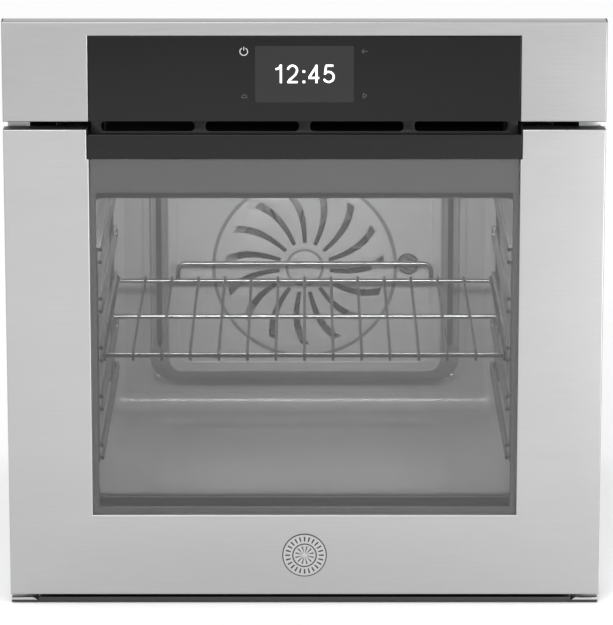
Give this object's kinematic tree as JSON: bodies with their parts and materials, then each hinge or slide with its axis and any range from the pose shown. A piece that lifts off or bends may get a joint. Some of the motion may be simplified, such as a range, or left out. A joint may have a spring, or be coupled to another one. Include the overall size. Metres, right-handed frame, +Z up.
{
  "type": "wall oven",
  "caption": "Built-in electric wall oven with a drop-down glass door, recessed handle, touch fascia, enamelled cavity, wire rack and cooling blower.",
  "frame": {"origin": "centre of the bounding box's bottom, on the surface that the runners stand on", "axes": "+Z up, -Y out of the door side, +X to the right seen from the front"},
  "size_m": [0.595, 0.568, 0.595],
  "materials": {
    "brushed_steel": "horizontal brushed",
    "galvanised_steel": "galvanised sheet",
    "zinc_casting": "satin dark metallic",
    "black_plastic": "matte black",
    "black_trim": "satin black",
    "bright_trim": "satin",
    "door_glass": "clear toughened, grey printed border",
    "lamp_glass": "ribbed heat resisting",
    "control_glass": "black printed glass",
    "display": "display panel",
    "enamel": "grey vitreous enamel",
    "chrome_wire": "bright plated wire",
    "gasket": "woven glass and silicone",
    "mineral_wool": "mineral wool blanket",
    "element": "heat tinted sheath",
    "circuit_board": "circuit board",
    "lamp_ceramic": "steatite",
    "motor": "plain"
  },
  "bodies": {
    "root": {"air_duct": "galvanised_steel", "base_pan": "galvanised_steel", "blower_housing": "galvanised_steel", "blower_motor": "motor", "bottom_element": "element", "bottom_trim": "black_trim", "cavity_liner": "enamel", "control_board": "circuit_board", "control_glass": "control_glass", "control_housing": "black_plastic", "cooling_grille": "black_plastic", "display_module": "display", "door_gasket": "gasket", "fan_cover": "enamel", "fan_motor": "motor", "fascia_panel": "brushed_steel", "fascia_support": "galvanised_steel", "front_frame": "enamel", "grill_element": "element", "hinge_arm_left": "galvanised_steel", "hinge_arm_right": "galvanised_steel", "insulation": "mineral_wool", "lamp_holder": "lamp_ceramic", "lamp_lens": "lamp_glass", "power_board": "circuit_board", "rear_panel": "galvanised_steel", "ring_element": "element", "shelf_ladder_left": "chrome_wire", "shelf_ladder_right": "chrome_wire", "side_flange_left": "galvanised_steel", "side_flange_right": "galvanised_steel", "side_panel_left": "galvanised_steel", "side_panel_right": "galvanised_steel", "terminal_box": "black_plastic", "top_cover_front": "galvanised_steel", "top_cover_rear": "galvanised_steel", "trim_end_left": "bright_trim", "trim_end_right": "bright_trim"},
    "door": {"door_outer_panel": "brushed_steel", "door_glass_outer": "door_glass", "door_glass_middle": "door_glass", "door_glass_inner": "door_glass", "glass_holder_left": "black_plastic", "glass_holder_right": "black_plastic", "door_handle": "zinc_casting", "finger_trough": "black_plastic", "door_top_cap_left": "black_plastic", "door_top_cap_right": "black_plastic", "door_badge": "zinc_casting", "door_inner_tray": "enamel", "door_top_profile": "black_plastic", "hinge_housing_left": "galvanised_steel", "hinge_housing_right": "galvanised_steel", "hinge_spring_left": "galvanised_steel", "hinge_spring_right": "galvanised_steel"},
    "rod_left": {"hinge_rod_left": "galvanised_steel"},
    "rod_right": {"hinge_rod_right": "galvanised_steel"},
    "fan": {"convection_fan": "galvanised_steel"},
    "blower": {"blower_drum": "galvanised_steel"},
    "rack": {"wire_rack": "chrome_wire"}
  },
  "joints": [
    {"name": "door_hinge", "type": "hinge", "parent": "root", "child": "door", "pos_m": [0, -0.2722, 0.0192], "axis": [1, 0, 0], "range_deg": [0, 90], "stiffness_Nm_per_rad": 11, "springref_deg": -5.73},
    {"name": "rack_slide", "type": "slide", "parent": "root", "child": "rack", "axis": [0, -1, 0], "range_m": [0, 0.24]},
    {"name": "rod_left_slide", "type": "slide", "parent": "door", "child": "rod_left", "axis": [0, 0, -1], "range_m": [0, 0.018], "deforming": ["hinge_spring_left"]},
    {"name": "rod_right_slide", "type": "slide", "parent": "door", "child": "rod_right", "axis": [0, 0, -1], "range_m": [0, 0.018], "deforming": ["hinge_spring_right"]},
    {"name": "fan_spin", "type": "hinge", "parent": "root", "child": "fan", "pos_m": [0, 0.1468, 0.254], "axis": [0, 1, 0], "continuous": true},
    {"name": "blower_spin", "type": "hinge", "parent": "root", "child": "blower", "pos_m": [0, -0.0482, 0.505], "axis": [1, 0, 0], "continuous": true}
  ],
  "couplings": [
    {"joint": "rack_slide", "follows": "door_hinge", "m_per_rad": 0.1527},
    {"joint": "rod_left_slide", "follows": "door_hinge", "m_per_rad": 0.0114},
    {"joint": "rod_right_slide", "follows": "door_hinge", "m_per_rad": 0.0114}
  ]
}
